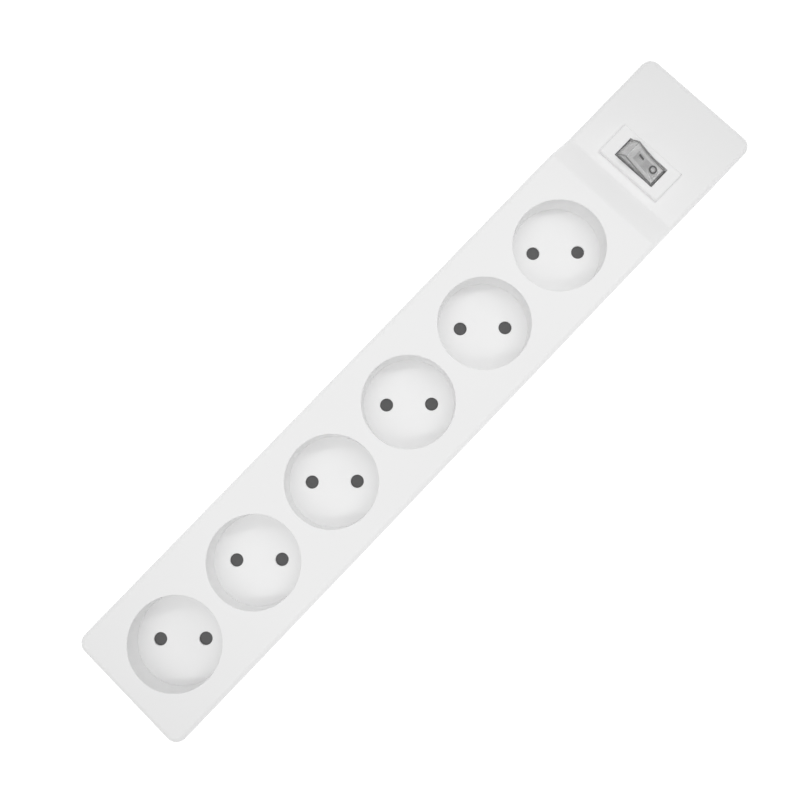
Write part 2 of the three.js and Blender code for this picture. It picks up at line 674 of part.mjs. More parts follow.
/** The see-saw strip about its pivot, with its underside on Z = 0 and a shallow notch in the middle. */
function contactLever() {
  const gauge = 0.8;
  const underside = [[-8.6, 0], [-0.8, 0], [0, 0.35], [0.8, 0], [8.6, 0]];
  const top = [[8.6, gauge], [-8.6, gauge]];
  return alongX([...underside, ...top], -2, 2);
}

/** The middle blade, with a knife edge that the lever rocks on. */
function inputTerminal() {
  const half = BLADE_THICKNESS / 2;
  const blade = [
    [-half, BLADE_END_Z],
    [half, BLADE_END_Z],
    [half, LEVER_Z - 0.5],
    [0, LEVER_Z - 0.1],
    [-half, LEVER_Z - 0.5],
  ];
  return alongX(blade, -BLADE_HALF_WIDTH, BLADE_HALF_WIDTH);
}

/** The output blade, with a foot that reaches under the lever's end. */
function outputTerminal() {
  const half = BLADE_THICKNESS / 2;
  const seat = BODY_FLOOR_Z + 0.1;
  const blade = [
    [OUTPUT_BLADE_Y - half, BLADE_END_Z],
    [OUTPUT_BLADE_Y + half, BLADE_END_Z],
    [OUTPUT_BLADE_Y + half, seat],
    [-5, seat],
    [-5, seat + BLADE_THICKNESS],
    [OUTPUT_BLADE_Y - half, seat + BLADE_THICKNESS],
  ];
  return alongX(blade, -BLADE_HALF_WIDTH, BLADE_HALF_WIDTH);
}

function lampTerminal() {
  const half = BLADE_THICKNESS / 2;
  const low = [-BLADE_HALF_WIDTH, LAMP_BLADE_Y - half, BLADE_END_Z];
  return box(low, [BLADE_HALF_WIDTH, LAMP_BLADE_Y + half, BODY_FLOOR_Z + BLADE_THICKNESS]);
}

// ---- cord inlet, clamp and terminal block -------------------------------------------------------

/** The ring that lines the cord inlet, with a flange inside the end wall. */
function inletBush() {
  const mouthX = LENGTH / 2 - 0.15;
  const flangeX = LENGTH / 2 - WALL - FIT;
  const barrel = rodAlongX(mouthX - 5.7, mouthX, 0, INLET_Z, INLET_RADIUS + BUSH_WALL, 24);
  const flange = rodAlongX(flangeX - 1.8, flangeX, 0, INLET_Z, INLET_RADIUS + 2.2, 24);
  return barrel.add(flange).subtract(rodAlongX(160, 180, 0, INLET_Z, INLET_RADIUS, 24));
}

function clampBar() {
  const bar = box([-2.6, -11.5, 0], [2.6, 11.5, 3]);
  const holes = [-1, 1].map((side) => rod(0, side * CLAMP_POST_Y, -1, 4, CLAMP_SCREW_RADIUS + FIT, 12));
  return cut(bar, ...holes);
}

function terminalBlock() {
  const block = box([BLOCK_LOW_X, -BLOCK_HALF_Y, BLOCK_LOW_Z], [BLOCK_HIGH_X, BLOCK_HALF_Y, BLOCK_HIGH_Z]);
  const middleX = (BLOCK_LOW_X + BLOCK_HIGH_X) / 2;
  const waist = [-1, 1].map((side) =>
    box([middleX - 1, side > 0 ? 8.2 : -20, 0], [middleX + 1, side > 0 ? 20 : -8.2, 40]),
  );
  const poles = [-1, 1].map((side) => rodAlongX(140, 160, side * POLE_Y, POLE_Z, 2.9, 12));
  const shafts = terminalScrewPlaces().map(([x, y]) => rod(x, y, 0, POLE_Z, 2, 12));
  return cut(block, ...waist, ...poles, ...shafts);
}

function terminalScrewXs() {
  return [BLOCK_LOW_X + BLOCK_SCREW_INSET, BLOCK_HIGH_X - BLOCK_SCREW_INSET];
}

function terminalScrewPlaces() {
  return terminalScrewXs().flatMap((x) => [-1, 1].map((side) => [x, side * POLE_Y]));
}

/** A brass sleeve with a bore along X and two tapped holes from below, about its own pole. */
function poleSleeve() {
  const sleeve = rodAlongX(BLOCK_LOW_X + 1, BLOCK_HIGH_X - 1, 0, 0, 2.5, 12);
  const bore = rodAlongX(140, 160, 0, 0, 1.5, 10);
  const holes = terminalScrewXs().map((x) => rod(x, 0, -5, 0, 1.6, 10));
  return cut(sleeve, bore, ...holes);
}

// ---- wires --------------------------------------------------------------------------------------

/** An insulated wire through hand-laid points. */
function wire(points, steps) {
  const corners = points.map((point) => new THREE.Vector3(...point));
  const path = new THREE.CatmullRomCurve3(corners, false, "centripetal");
  return tube(path, WIRE_RADIUS, steps, 8);
}

const BLADE_EDGE_X = SWITCH_X + BLADE_HALF_WIDTH;
const TAB_WIRE_X = BUSBAR_END_X + FIT;
const TAB_WIRE_Z = BUSBAR_Z + 6;
const BLADE_WIRE_Z = 6.6;

const feedRoute = [
  [BLADE_EDGE_X + FIT, 0, BLADE_WIRE_Z],
  [BLADE_EDGE_X + 2.5, 0, BLADE_WIRE_Z],
  [139.6, -1.6, 9.5],
  [140.9, -4.2, 14.5],
  [141.1, -POLE_Y, 18.6],
  [BLOCK_LOW_X + 0.6, -POLE_Y, POLE_Z],
];
const switchedRoute = [
  [TAB_WIRE_X, -6.7, TAB_WIRE_Z],
  [TAB_WIRE_X + 2.5, -6.7, TAB_WIRE_Z],
  [108, -9, TAB_WIRE_Z + 0.5],
  [118, -9.6, 8.4],
  [126.5, OUTPUT_BLADE_Y, BLADE_WIRE_Z],
  [SWITCH_X - BLADE_HALF_WIDTH - FIT, OUTPUT_BLADE_Y, BLADE_WIRE_Z],
];
const neutralRoute = [
  [TAB_WIRE_X, 8.2, TAB_WIRE_Z],
  [TAB_WIRE_X + 2.5, 8.3, TAB_WIRE_Z],
  [107, 13, 11],
  [117, 18.6, 14],
  [130, 20.2, 16.5],
  [138, 18.6, 17.5],
  [140.9, 13, 18.6],
  [141.1, 7.4, 19.3],
  [BLOCK_LOW_X + 0.6, POLE_Y, POLE_Z],
];
const lampRoute = switchedRoute.map(([x, y, z], i) => [x, i < 2 ? 5.2 : -y, z]);

// ---- assembly -----------------------------------------------------------------------------------

place("top_housing", topHousing(), whitePlastic);
place("contact_carrier", contactCarrier(), trayPlastic);
place("base_tray", baseTray(), trayPlastic);
const socketShutter = shutter();
socketXs.forEach((x, i) => {
  place(`shutter_${i + 1}`, socketShutter, darkPlastic, strip, [x, 0, 0]);
});

const baseScrew = screw(SCREW_HEAD_RADIUS, SCREW_HEAD_HEIGHT, SCREW_RADIUS, SCREW_LENGTH);
screwPlaces.forEach(([x, y], i) => {
  place(`base_screw_${i + 1}`, baseScrew, steel, strip, [x, y, SCREW_SEAT_Z - FIT]);
});

const busbarStartX = socketXs[0] - BUSBAR_OVERHANG;
place("line_busbar", busbar(busbarStartX + PIN_OFFSET), brass, strip, [0, -PIN_OFFSET, 0]);
place("neutral_busbar", busbar(busbarStartX - PIN_OFFSET), brass, strip, [0, PIN_OFFSET, 0]);
const contact = pinContact();
socketXs.forEach((x, i) => {
  place(`line_contact_${i + 1}`, contact, copper, strip, [x + PIN_OFFSET, -PIN_OFFSET, CONTACT_Z]);
  place(`neutral_contact_${i + 1}`, contact, copper, strip, [x - PIN_OFFSET, PIN_OFFSET, CONTACT_Z]);
});

const switchGroup = new THREE.Group();
switchGroup.position.x = SWITCH_X;
strip.add(switchGroup);
place("switch_body", switchBody(), bezelPlastic, switchGroup);
place("switch_input_terminal", inputTerminal(), brass, switchGroup);
place("switch_output_terminal", outputTerminal(), brass, switchGroup);
place("lamp_terminal", lampTerminal(), brass, switchGroup);
const contactSeatZ = BODY_FLOOR_Z + 0.95;
const fixedContact = rod(0, LEVER_CONTACT_Y, contactSeatZ, contactSeatZ + CONTACT_FACING, 1.5, 20);
place("fixed_contact", fixedContact, silver, switchGroup);

const rockerGroup = new THREE.Group();
rockerGroup.position.z = ROCKER_PIVOT_Z;
rockerGroup.rotation.x = radians(ROCKER_REST_TILT);
switchGroup.add(rockerGroup);
place("rocker", rocker(), smokyPlastic, rockerGroup);
place("plunger", plunger(), blackPlastic, rockerGroup);
place("plunger_spring", plungerSpring(), steel, rockerGroup);
place("neon_lamp", neonLamp(), lampGlass, rockerGroup, [-1.4, 0, 3.25]);
const resistor = new THREE.CylinderGeometry(0.9, 0.9, 6.3, 14);
place("lamp_resistor", solid(resistor), ceramic, rockerGroup, [2.3, 0, 2.6]);

const leverGroup = new THREE.Group();
leverGroup.position.z = LEVER_Z;
leverGroup.rotation.x = -radians(LEVER_REST_TILT);
switchGroup.add(leverGroup);
place("contact_lever", contactLever(), copper, leverGroup);
const movingContact = rod(0, LEVER_CONTACT_Y, -0.05 - CONTACT_FACING, -0.05, 1.2, 20);
place("moving_contact", movingContact, silver, leverGroup);

place("inlet_bush", inletBush(), blackPlastic);
place("cord_clamp_bar", clampBar(), trayPlastic, strip, [CLAMP_X, 0, CLAMP_BAR_Z]);
const clampScrew = screw(2.3, 1.8, CLAMP_SCREW_RADIUS, 11);
[-CLAMP_POST_Y, CLAMP_POST_Y].forEach((y, i) => {
  place(`clamp_screw_${i + 1}`, clampScrew, steel, strip, [CLAMP_X, y, CLAMP_BAR_Z - 0.1]);
});
place("terminal_block", terminalBlock(), greyPlastic);
place("line_sleeve", poleSleeve(), brass, strip, [0, -POLE_Y, POLE_Z]);
place("neutral_sleeve", poleSleeve(), brass, strip, [0, POLE_Y, POLE_Z]);
const terminalScrew = grubScrew(1.45, 4);
terminalScrewPlaces().forEach(([x, y], i) => {
  place(`terminal_screw_${i + 1}`, terminalScrew, steel, strip, [x, y, POLE_Z - 5.2]);
});

place("feed_wire", wire(feedRoute, 14), brownInsulation);
place("switched_wire", wire(switchedRoute, 16), brownInsulation);
place("neutral_wire", wire(neutralRoute, 24), blueInsulation);
place("lamp_wire", wire(lampRoute, 16), blueInsulation);

export default strip;
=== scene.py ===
"""A white six-way power strip with a lit rocker switch, on a pale table under two long soft lights."""

import json
import math

import bmesh
import bpy
from mathutils import Matrix, Vector


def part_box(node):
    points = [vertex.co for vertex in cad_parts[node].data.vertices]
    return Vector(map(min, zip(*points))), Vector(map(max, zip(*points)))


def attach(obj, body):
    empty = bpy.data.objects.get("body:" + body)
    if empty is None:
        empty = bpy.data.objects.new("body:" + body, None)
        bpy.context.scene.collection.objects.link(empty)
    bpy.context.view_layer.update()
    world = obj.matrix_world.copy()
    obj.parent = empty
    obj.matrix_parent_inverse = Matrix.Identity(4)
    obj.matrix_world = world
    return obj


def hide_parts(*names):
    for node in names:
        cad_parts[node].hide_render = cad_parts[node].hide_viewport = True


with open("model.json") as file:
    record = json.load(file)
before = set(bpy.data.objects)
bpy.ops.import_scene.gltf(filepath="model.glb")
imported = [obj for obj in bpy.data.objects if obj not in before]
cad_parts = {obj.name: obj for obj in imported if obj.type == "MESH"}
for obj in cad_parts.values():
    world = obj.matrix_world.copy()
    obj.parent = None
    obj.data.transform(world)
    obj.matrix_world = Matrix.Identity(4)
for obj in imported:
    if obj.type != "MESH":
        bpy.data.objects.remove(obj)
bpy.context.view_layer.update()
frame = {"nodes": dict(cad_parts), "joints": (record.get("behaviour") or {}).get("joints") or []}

MM = 0.001

# The two shells, in millimetres: wall, round corners in plan and round edges.
WALL = 2.0
CORNER, LEAST_CORNER = 5.0, 1.0
TOP_EDGE, BOTTOM_EDGE, SEAM_EDGE, INNER_EDGE = 2.2, 0.9, 0.25, 0.2
SEAM_GAP = 0.3
CAD_INSET = 1.0
ARC_STEPS = 10
CLEAR = 1


# ---- where the CAD part has things, in millimetres ----------------------------------------------


def cad(node):
    """The lowest and highest corner of a CAD node, in millimetres."""
    low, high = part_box(node)
    return low / MM, high / MM


def middle(*nodes):
    """The middle of the space that several CAD nodes take up together."""
    boxes = [cad(n) for n in nodes]
    low = Vector(min(b[0][i] for b in boxes) for i in range(3))
    high = Vector(max(b[1][i] for b in boxes) for i in range(3))
    return (low + high) / 2


def joint(name):
    return next(j for j in frame["joints"] if j["name"] == name)


HOUSING_LOW, HOUSING_HIGH = cad("top_housing")
HALF_X, HALF_Y = HOUSING_HIGH.x, HOUSING_HIGH.y
DECK_Z = HOUSING_HIGH.z
HEAD_Z = 30.2
SLOPE_TOP_X, SLOPE_FOOT_X = 108.05, 120.55
SLOPE_ROUNDING, SLOPE_STEPS = 3.6, 6
SEAM_Z = HOUSING_LOW.z - SEAM_GAP
SOCKETS = [middle(f"line_contact_{i}", f"neutral_contact_{i}") for i in range(1, 7)]
FLOOR_Z = cad("contact_carrier")[1].z
SCREWS = [middle(f"base_screw_{i}") for i in range(1, 7)]
PIVOT = Vector(joint("rocker_tip")["pos_m"]) / MM
REST_TILT = math.radians(joint("rocker_tip")["range_deg"][1] / 2)
SWITCH_X = PIVOT.x
BEZEL_LOW, BEZEL_HIGH = cad("switch_body")
INLET_Z = middle("inlet_bush").z


# ---- solids -------------------------------------------------------------------------------------


def solid(name, corners, faces):
    """A closed mesh from corners in millimetres, with its faces turned outwards."""
    mesh = bpy.data.meshes.new(name)
    mesh.from_pydata([Vector(c) * MM for c in corners], [], faces)
    shape = bmesh.new()
    shape.from_mesh(mesh)
    bmesh.ops.recalc_face_normals(shape, faces=shape.faces)
    shape.to_mesh(mesh)
    shape.free()
    obj = bpy.data.objects.new(name, mesh)
    bpy.context.scene.collection.objects.link(obj)
    return obj


def loft(name, rings, across=False):
    """Rings with the same number of corners, joined one to the next and closed at both ends.

    With across, the end faces are strips from one side of the ring to the other, so they can bend.
    """
    count = len(rings[0])
    corners = [point for ring in rings for point in ring]
    faces = []
    for k in range(len(rings) - 1):
        low, high = k * count, (k + 1) * count
        for i in range(count):
            j = (i + 1) % count
            faces.append((low + i, low + j, high + j, high + i))
    for start in (0, (len(rings) - 1) * count):
        if across:
            last = start + count - 1
            for i in range(count // 2 - 1):
                faces.append((start + i, start + i + 1, last - i - 1, last - i))
        else:
            faces.append(tuple(range(start, start + count)))
    return solid(name, corners, faces)


def lathe(name, profile, centre=(0, 0, 0), steps=128, axis="Z"):
    """A profile of (radius, height) points turned round an axis, with flat ends."""
    angles = [2 * math.pi * i / steps for i in range(steps)]
    rings = []
    for radius, height in profile:
        ring = [Vector((radius * math.cos(a), radius * math.sin(a), height)) for a in angles]
        if axis == "X":
            ring = [Vector((p.z, p.x, p.y)) for p in ring]
        rings.append([p + Vector(centre) for p in ring])
    return loft(name, rings)


def rounding(radius, steps=4):
    """(cosine, sine) pairs of a quarter circle, times a radius."""
    turns = [math.pi / 2 * i / steps for i in range(steps + 1)]
    return [(radius * math.cos(t), radius * math.sin(t)) for t in turns]


def box(name, low, high):
    (a, b, c), (d, e, f) = low, high
    rings = [[(a, b, z), (d, b, z), (d, e, z), (a, e, z)] for z in (c, f)]
    return loft(name, rings)


def rounded_rectangle(half_x, half_y, radius, z, centre=(0, 0), steps=5):
    """A ring of points round a rectangle with round corners."""
    points = []
    for corner, (sx, sy) in enumerate(((1, 1), (-1, 1), (-1, -1), (1, -1))):
        for i in range(steps + 1):
            turn = (corner + i / steps) * math.pi / 2
            x = sx * (half_x - radius) + radius * math.cos(turn)
            y = sy * (half_y - radius) + radius * math.sin(turn)
            points.append((centre[0] + x, centre[1] + y, z))
    return points


def combine(target, operation, *tools):
    """A boolean of a mesh with several others, which are used up."""
    for tool in tools:
        step = target.modifiers.new("boolean", "BOOLEAN")
        step.operation = operation
        step.solver = "MANIFOLD"
        step.object = tool
    graph = bpy.context.evaluated_depsgraph_get()
    target.data = bpy.data.meshes.new_from_object(target.evaluated_get(graph))
    target.modifiers.clear()
    for tool in tools:
        bpy.data.objects.remove(tool)
    return target


def cad_copy(node, name):
    """A welded copy of a CAD node's mesh, to build a finer piece around."""
    obj = bpy.data.objects.new(name, frame["nodes"][node].data.copy())
    bpy.context.scene.collection.objects.link(obj)
    obj.data.materials.clear()
    shape = bmesh.new()
    shape.from_mesh(obj.data)
    bmesh.ops.remove_doubles(shape, verts=shape.verts, dist=2e-6)
    shape.to_mesh(obj.data)
    shape.free()
    return obj


def soften(obj, degrees=32):
    """Smooth shading across shallow edges, with flat faces kept flat."""
    shape = bmesh.new()
    shape.from_mesh(obj.data)
    bmesh.ops.remove_doubles(shape, verts=shape.verts, dist=1e-7)
    for face in shape.faces:
        face.smooth = True
    for edge in shape.edges:
        edge.smooth = edge.calc_face_angle(math.pi) < math.radians(degrees)
    shape.to_mesh(obj.data)
    shape.free()
    weighted = obj.modifiers.new("weighted", "WEIGHTED_NORMAL")
    weighted.keep_sharp = True
    graph = bpy.context.evaluated_depsgraph_get()
    obj.data = bpy.data.meshes.new_from_object(obj.evaluated_get(graph))
    obj.modifiers.clear()
    return obj


# ---- the outline that both shells share ---------------------------------------------------------


def slope_profile():
    """(x, height) points of the top: deck, slope and head, with softly rounded breaks."""
    rise, run = DECK_Z - HEAD_Z, SLOPE_FOOT_X - SLOPE_TOP_X
    angle = math.atan2(rise, run)
    radius = SLOPE_ROUNDING
    reach = radius * math.tan(angle / 2)
    points = []
    for step in range(SLOPE_STEPS + 1):
        turn = angle * step / SLOPE_STEPS
        x = SLOPE_TOP_X - reach + radius * math.sin(turn)
        points.append((x, DECK_Z - radius * (1 - math.cos(turn))))
    for step in range(SLOPE_STEPS + 1):
        turn = angle * (1 - step / SLOPE_STEPS)
        x = SLOPE_FOOT_X + reach - radius * math.sin(turn)
        points.append((x, HEAD_Z + radius * (1 - math.cos(turn))))
    return points


PROFILE = slope_profile()
SIDE_STOPS = (60, 14.35, -30.65, -75.65, -120.65)


def top_z(x):
    """The height of the housing's top surface at x."""
    if x <= PROFILE[0][0]:
        return DECK_Z
    for (x0, z0), (x1, z1) in zip(PROFILE, PROFILE[1:]):
        if x <= x1:
            return z0 + (z1 - z0) * (x - x0) / (x1 - x0)
    return HEAD_Z


def outline(inset, height):
    """The plan outline, drawn inwards by an inset, with its height given by a function of x.

    The long sides are divided at the slope and at the side stops, about midway between the sockets.
    """
    half_x, half_y = HALF_X - inset, HALF_Y - inset
    radius = max(CORNER - inset, LEAST_CORNER)
    plan = []
    for i in range(ARC_STEPS + 1):
        turn = math.pi / 2 * i / ARC_STEPS
        x = half_x - radius + radius * math.cos(turn)
        plan.append((x, half_y - radius + radius * math.sin(turn)))
    plan += [(x, half_y) for x, _ in reversed(PROFILE)]
    plan += [(x, half_y) for x in SIDE_STOPS]
    for i in range(ARC_STEPS + 1):
        turn = math.pi / 2 * (1 + i / ARC_STEPS)
        x = -half_x + radius + radius * math.cos(turn)
        plan.append((x, half_y - radius + radius * math.sin(turn)))
    plan += [(x, -y) for x, y in reversed(plan)]
    return [(x, y, height(x)) for x, y in plan]


def housing_block(name, inset, low_z, drop, edge):
    """The space under the housing's top surface, lowered by drop, with its top edge rounded."""
    rings = [outline(inset, lambda x: low_z)]
    for across, up in rounding(edge, 8):
        depth = drop + edge - up
        rings.append(outline(inset + edge - across, lambda x, d=depth: top_z(x) - d))
    return loft(name, rings, across=True)


# ---- top housing --------------------------------------------------------------------------------

RIM = 0.35
RECESS = 19.25
RECESS_FOOT = 19.0
PANEL_HALF_X, PANEL_HALF_Y = 6.9, 14.5
BUSH_HOLE, BUSH_EDGE = 4.9, 0.3


def recess_cutter(place):
    """What is cut for one socket: a slightly tapered round recess with a soft rim."""
    profile = [(RECESS_FOOT, FLOOR_Z - 4), (RECESS_FOOT, FLOOR_Z)]
    profile += [
        (RECESS + RIM - across, DECK_Z - RIM + up) for across, up in rounding(RIM, 5)
    ]
    profile.append((RECESS + RIM, DECK_Z + 3))
    return lathe("recess", profile, (place.x, 0, 0), 160)


def build_housing():
    """A smooth outer shell round the CAD node's own ribs and wells."""
    shell = housing_block("housing_shell", 0, HOUSING_LOW.z, 0, TOP_EDGE)
    inside = cad_copy("top_housing", "inside")
    inner_low = HOUSING_LOW.z + 0.4
    inner = housing_block("inner", CAD_INSET, inner_low, CAD_INSET, INNER_EDGE)
    combine(inside, "INTERSECT", inner)
    combine(shell, "DIFFERENCE", housing_block("hollow", WALL, 0, WALL, INNER_EDGE))
    combine(shell, "UNION", inside)
    cutters = [recess_cutter(place) for place in SOCKETS]
    panel_low = (SWITCH_X - PANEL_HALF_X, -PANEL_HALF_Y, HEAD_Z - 5)
    panel_high = (SWITCH_X + PANEL_HALF_X, PANEL_HALF_Y, HEAD_Z + CLEAR)
    cutters.append(box("panel", panel_low, panel_high))
    wide = BUSH_HOLE + BUSH_EDGE
    lead = [(wide - a, HALF_X - BUSH_EDGE + u) for a, u in rounding(BUSH_EDGE, 4)]
    mouth = [(BUSH_HOLE, HALF_X - 4), *lead, (wide, HALF_X + 2)]
    cutters.append(lathe("inlet", mouth, (0, 0, INLET_Z), 64, "X"))
    combine(shell, "DIFFERENCE", *cutters)
    return soften(shell)


# ---- contact carrier ----------------------------------------------------------------------------

PIN_BORE, PIN_LIP = 2.75, 0.25
DISC_RADIUS, DISC_EDGE, DISC_DEEP = 18.995, 0.04, 0.65
DISC_LAP = 0.4


def pin_places():
    for i in range(1, 7):
        for side in ("line", "neutral"):
            yield middle(f"{side}_contact_{i}")


def build_carrier():
    """The CAD carrier with smooth round discs for floors and a soft lip on every pin hole."""
    carrier = cad_copy("contact_carrier", "contact_floors")
    tops = box("tops", (-180, -25, FLOOR_Z - DISC_LAP), (180, 25, FLOOR_Z + CLEAR))
    combine(carrier, "DIFFERENCE", tops)
    floors = []
    for place in SOCKETS:
        arc = rounding(DISC_EDGE, 2)
        edge = [(DISC_RADIUS - DISC_EDGE + a, FLOOR_Z - DISC_EDGE + u) for a, u in arc]
        floor = [(DISC_RADIUS, FLOOR_Z - DISC_DEEP), *edge]
        floors.append(lathe("floor", floor, (place.x, 0, 0), 160))
    combine(carrier, "UNION", *floors)
    bores = []
    wide = PIN_BORE + PIN_LIP
    for place in pin_places():
        lip = [(wide - a, FLOOR_Z - PIN_LIP + u) for a, u in rounding(PIN_LIP, 4)]
        profile = [(PIN_BORE, 0), *lip, (wide, DECK_Z)]
        bores.append(lathe("bore", profile, (place.x, place.y, 0), 48))
    combine(carrier, "DIFFERENCE", *bores)
    return soften(carrier)


# ---- bottom cover -------------------------------------------------------------------------------

KEYHOLES = ((-159.6, -164.6), (112.0, 106.0))
KEYHOLE_HEAD, KEYHOLE_SLOT, KEYHOLE_LEAD, KEYHOLE_DEPTH = 3.9, 2.2, 0.3, 3.5
SCREW_WELL, SCREW_LEAD, SCREW_DEPTH, SCREW_SHANK = 3.4, 0.5, 4, 1.8
LABEL = ((-88.0, -9.5), (-26.0, 9.5))
LABEL_CORNER, LABEL_DEPTH = 1.5, 0.25
MARK_XS, MARK_X, MARK_Y = (-98.15, -8.15, 36.85, 81.85), 6, 17.5
MARK_RADIUS, MARK_DEPTH = 3.0, 0.12


def bevelled_hole(radius, lead, depth):
    """(radius, height) points of a hole from below, wider by its lead at the mouth."""
    return [(radius + lead, -CLEAR), (radius + lead, 0), (radius, lead), (radius, depth)]


def keyhole_cutter(head_x, slot_x):
    """A round head and a narrower slot, both bevelled at the mouth."""
    profile = bevelled_hole(KEYHOLE_HEAD, KEYHOLE_LEAD, KEYHOLE_DEPTH)
    head = lathe("head", profile, (head_x, 0, 0), 64)
    rings = []
    for half, z in bevelled_hole(KEYHOLE_SLOT, KEYHOLE_LEAD, KEYHOLE_DEPTH):
        turns = [math.pi / 2 + math.pi * i / 16 for i in range(17)]
        ring = [(slot_x + half * math.cos(t), half * math.sin(t), z) for t in turns]
        rings.append([*ring, (head_x, -half, z), (head_x, half, z)])
    return combine(head, "UNION", loft("slot", rings))


def build_cover():
    """A smooth outer cover round the CAD tray's own ribs, with its holes and shallow marks."""
    rings = []
    for across, up in reversed(rounding(BOTTOM_EDGE, 5)):
        rings.append(outline(BOTTOM_EDGE - across, lambda x, z=BOTTOM_EDGE - up: z))
    for across, up in rounding(SEAM_EDGE, 3):
        z = SEAM_Z - SEAM_EDGE + up
        rings.append(outline(SEAM_EDGE - across, lambda x, z=z: z))
    cover = loft("base_cover", rings, across=True)
    inside = cad_copy("base_tray", "inside")
    inner_rings = [outline(CAD_INSET, lambda x, z=z: z) for z in (1.3, 14.0)]
    inner = loft("inner", inner_rings, across=True)
    combine(inside, "INTERSECT", inner)
    hollow = loft("hollow", [outline(3.3, lambda x, z=z: z) for z in (2.5, 9.0)], across=True)
    combine(cover, "DIFFERENCE", hollow)
    combine(cover, "UNION", inside)
    cutters = []
    for place in SCREWS:
        centre = (place.x, place.y, 0)
        well = bevelled_hole(SCREW_WELL, SCREW_LEAD, SCREW_DEPTH)
        cutters.append(lathe("well", well, centre, 64))
        cutters.append(lathe("shank", [(SCREW_SHANK, 3), (SCREW_SHANK, 10)], centre, 32))
    cutters += [keyhole_cutter(*xs) for xs in KEYHOLES]
    for x in MARK_XS:
        for side in (-1, 1):
            mark = [(MARK_RADIUS, -CLEAR), (MARK_RADIUS, MARK_DEPTH)]
            centre = (x + side * MARK_X, side * MARK_Y, 0)
            cutters.append(lathe("ejector", mark, centre, 48))
    (x0, y0), (x1, y1) = LABEL
    half_x, half_y = (x1 - x0) / 2, (y1 - y0) / 2
    centre = ((x0 + x1) / 2, (y0 + y1) / 2)
    levels = (-CLEAR, LABEL_DEPTH)
    plate = [rounded_rectangle(half_x, half_y, LABEL_CORNER, z, centre) for z in levels]
    cutters.append(loft("label", plate))
    combine(cover, "DIFFERENCE", *cutters)
    return soften(cover)


# ---- switch -------------------------------------------------------------------------------------


BEZEL_EDGE, BEZEL_CORNER = 0.8, 1.3
WELL_HALF_X, WELL_HALF_Y = 5.02, 10.47
MOUTH_HALF_X, MOUTH_HALF_Y, MOUTH_CORNER, MOUTH_Y = 5, 10.3, 0.3, -0.2
PIN_CLEARANCE = 1.75


def build_switch_case():
    """The CAD case with a soft-edged bezel, and ledges that close in on the rocker's sides.

    The bezel is hollowed before it joins the case, or it would close the mouth. The ledges start
    above the rocker's pins.
    """
    case = cad_copy("switch_body", "switch_case")
    half_x, half_y = (BEZEL_HIGH.x - BEZEL_LOW.x) / 2, (BEZEL_HIGH.y - BEZEL_LOW.y) / 2
    centre = (SWITCH_X, 0)
    top, edge, corner = BEZEL_HIGH.z, BEZEL_EDGE, BEZEL_CORNER
    rings = [rounded_rectangle(half_x, half_y, corner, HEAD_Z + 0.05, centre)]
    for across, up in rounding(edge, 7):
        inset = edge - across
        ring = rounded_rectangle(
            half_x - inset, half_y - inset, corner - inset, top - edge + up, centre
        )
        rings.append(ring)
    low = (SWITCH_X - WELL_HALF_X, -WELL_HALF_Y, HEAD_Z - CLEAR)
    well = box("well", low, (SWITCH_X + WELL_HALF_X, WELL_HALF_Y, top + CLEAR))
    combine(case, "UNION", combine(loft("bezel", rings), "DIFFERENCE", well))
    ledges = []
    for side in (-1, 1):
        x0, x1 = sorted((SWITCH_X + side * 4.68, SWITCH_X + side * 5.3))
        ledge_low = (x0, -10.3, PIVOT.z + PIN_CLEARANCE)
        ledges.append(box("ledge", ledge_low, (x1, 10.0, top - 1.3)))
    lip = box("lip", (SWITCH_X - 5.2, 10.1, top - 0.75), (SWITCH_X + 5.2, 10.8, top - 0.1))
    combine(case, "UNION", *ledges, lip)
    mouth = []
    centre = (SWITCH_X, MOUTH_Y)
    for grow, up in ((0, -0.8), (0, -0.2), (0.06, -0.06), (0.2, 0), (0.2, 3)):
        half_x, half_y = MOUTH_HALF_X + grow, MOUTH_HALF_Y + grow
        mouth.append(rounded_rectangle(half_x, half_y, MOUTH_CORNER + grow, top + up, centre))
    combine(case, "DIFFERENCE", loft("mouth", mouth))
    return soften(case)


CHAMBER_HALF_X, CHAMBER_HALF_Y, CHAMBER_FLOOR = 5.1, 11.4, 13.0


def darken_chamber_walls(case, made):
    """Gives the faces of the walls inside the switch a second, darker grey material, picked by where each
    face sits.
    """
    case.data.materials.append(made)
    for face in case.data.polygons:
        place = face.center / MM
        inside = abs(place.x - SWITCH_X) < CHAMBER_HALF_X and abs(place.y) < CHAMBER_HALF_Y
        if inside and CHAMBER_FLOOR < place.z < BEZEL_HIGH.z - 0.25:
            face.material_index = 1


ROCKER_RADIUS = 10.6
ROCKER_HALF = 4.5
TIP_ANGLE = math.radians(49.3)
DISH = 0.5
TIP_Y = ROCKER_RADIUS * math.sin(TIP_ANGLE)
TIP_Z = ROCKER_RADIUS * math.cos(TIP_ANGLE)


def face_z(y):
    """The height of the rocker's dished face above the pivot."""
    return TIP_Z - DISH * (1 - (y / TIP_Y) ** 2)


def rocker_place(obj):
    """Puts a piece built about the pivot where the rocker is at rest."""
    turn = Matrix.Rotation(REST_TILT, 4, "X")
    obj.data.transform(Matrix.Translation(PIVOT * MM) @ turn)
    return obj


LENS_SKIN = 0.8
LENS_BEVEL = 0.35
FOOT_ANGLE = math.radians(96)
LINER_GAP = 0.04
LINER_DEPTH = LENS_SKIN + LINER_GAP
LINER_WALL = 0.35


def prism(name, section, low, high):
    """A section of (y, z) points drawn along X."""
    return loft(name, [[(x, y, z) for y, z in section] for x in (low, high)])


